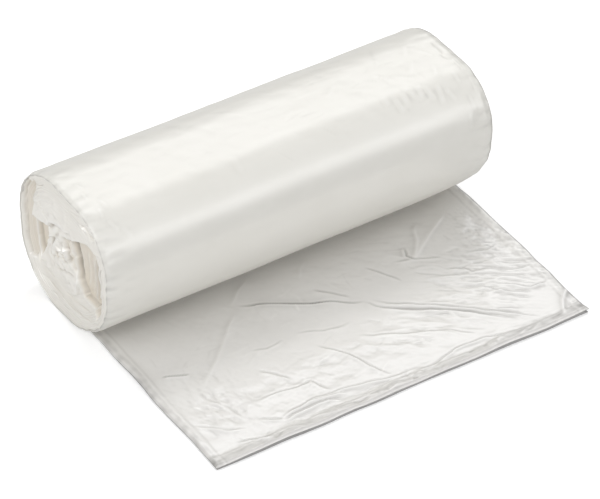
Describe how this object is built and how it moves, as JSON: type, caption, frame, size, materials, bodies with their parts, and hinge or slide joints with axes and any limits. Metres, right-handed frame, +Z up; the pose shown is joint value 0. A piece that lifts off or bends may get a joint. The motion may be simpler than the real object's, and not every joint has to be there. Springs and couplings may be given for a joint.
{
  "type": "bin bag roll",
  "caption": "Coreless roll of folded white film bags lying on its side, the first bag pulled out flat in front, with spiral turns and a crumpled middle at both ends.",
  "frame": {"origin": "on the table, under the middle of the roll and halfway along the folded bag's width", "axes": "+X along the roll, -Y the way the first bag is pulled out, +Z up"},
  "size_m": [0.261, 0.207, 0.094],
  "materials": {
    "film": "satin"
  },
  "bodies": {
    "root": {"bag_roll": "film"}
  },
  "joints": []
}
